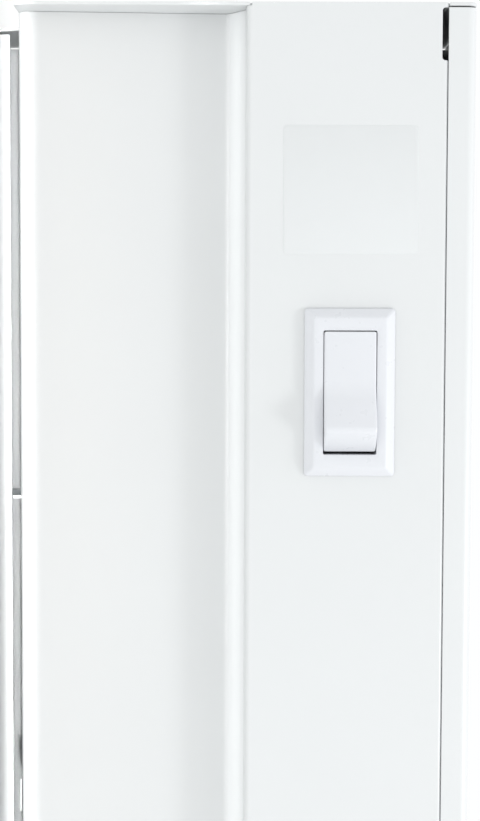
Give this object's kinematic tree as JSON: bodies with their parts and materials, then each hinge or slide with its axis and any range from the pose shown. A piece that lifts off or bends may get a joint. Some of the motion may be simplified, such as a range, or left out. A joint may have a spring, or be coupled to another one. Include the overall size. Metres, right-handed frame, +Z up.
{
  "type": "baseboard heater",
  "caption": "Low white electric baseboard heater: hooded sheet-metal case with a stepped front cover, finned element inside and a rocker switch at its left end.",
  "frame": {"origin": "on the floor, at the middle of the heater's length and of its overall depth from the wall face to the crest of the rocker", "axes": "+X runs along the heater to its right end as seen from the room, -Y faces the room, +Y is the wall, +Z is up"},
  "size_m": [0.762, 0.0738, 0.152],
  "materials": {
    "enamel": "satin white baked enamel, fine orange peel",
    "galvanised_sheet": "galvanised, matt grey with a faint spangle",
    "spring_strip": "bright zinc-plated spring strip",
    "screw_zinc": "bright zinc plating",
    "fin_aluminium": "mill finish",
    "sheath_steel": "heat-browned steel",
    "insulator_ceramic": "unglazed steatite",
    "plated_brass": "satin",
    "nylon": "natural nylon, matt",
    "black_phenolic": "matt black moulding",
    "white_plastic": "white moulding, soft gloss",
    "copper_bulb": "drawn copper tube, dulled",
    "label_film": "satin film, blank",
    "wire_black": "black insulation",
    "wire_red": "red insulation",
    "wire_white": "white insulation",
    "wire_green": "green insulation",
    "splice_red": "ribbed red shell",
    "splice_yellow": "ribbed yellow shell",
    "splice_green": "ribbed green shell",
    "screw_green": "green-dyed zinc",
    "push_on_red": "red vinyl boot"
  },
  "bodies": {
    "case": {"back_panel": "enamel", "front_cover": "enamel", "end_cap_left": "enamel", "end_cap_right": "enamel", "end_cap_screw_left_lower": "screw_zinc", "end_cap_screw_left_upper": "screw_zinc", "end_cap_screw_right_lower": "screw_zinc", "end_cap_screw_right_upper": "screw_zinc", "rating_label": "label_film", "compartment_floor_left": "galvanised_sheet", "compartment_floor_right": "galvanised_sheet", "barrier_left": "galvanised_sheet", "barrier_right": "galvanised_sheet", "element_bracket_left": "galvanised_sheet", "element_bracket_middle": "galvanised_sheet", "element_bracket_right": "galvanised_sheet", "element_bushing_left": "nylon", "element_bushing_middle": "nylon", "element_bushing_right": "nylon", "cover_clip_left": "spring_strip", "cover_clip_middle": "spring_strip", "cover_clip_right": "spring_strip", "fin_pack": "fin_aluminium", "element_sheath": "sheath_steel", "element_insulator_left": "insulator_ceramic", "element_insulator_right": "insulator_ceramic", "element_pin_left": "plated_brass", "element_pin_right": "plated_brass", "crimp_left": "plated_brass", "crimp_right": "plated_brass", "limit_control": "black_phenolic", "limit_bulb": "copper_bulb", "bulb_clip_left": "galvanised_sheet", "bulb_clip_right": "galvanised_sheet", "wire_channel": "galvanised_sheet", "entry_bushing": "black_phenolic", "splice_line": "splice_red", "splice_neutral": "splice_yellow", "splice_earth": "splice_green", "earth_screw": "screw_green", "earth_lug": "plated_brass", "earth_lead": "wire_green", "lead_line": "wire_black", "lead_load": "wire_red", "lead_limit": "wire_red", "lead_return": "wire_white", "switch_housing": "white_plastic", "switch_blade_line": "plated_brass", "switch_blade_load": "plated_brass", "push_on_line": "push_on_red", "push_on_load": "push_on_red"},
    "rocker": {"rocker": "white_plastic", "rocker_plunger": "nylon", "plunger_spring": "spring_strip"},
    "contact_arm": {"contact_arm": "plated_brass"}
  },
  "joints": [
    {"name": "rocker_tilt", "type": "hinge", "parent": "case", "child": "rocker", "pos_m": [-0.266, -0.02738, 0.115], "axis": [0, 0, 1], "range_deg": [0, 20]},
    {"name": "contact_arm_tilt", "type": "hinge", "parent": "case", "child": "contact_arm", "pos_m": [-0.266, -0.01338, 0.115], "axis": [0, 0, 1], "range_deg": [-14, 0]}
  ],
  "couplings": [
    {"joint": "contact_arm_tilt", "follows": "rocker_tilt", "ratio": -0.7}
  ]
}
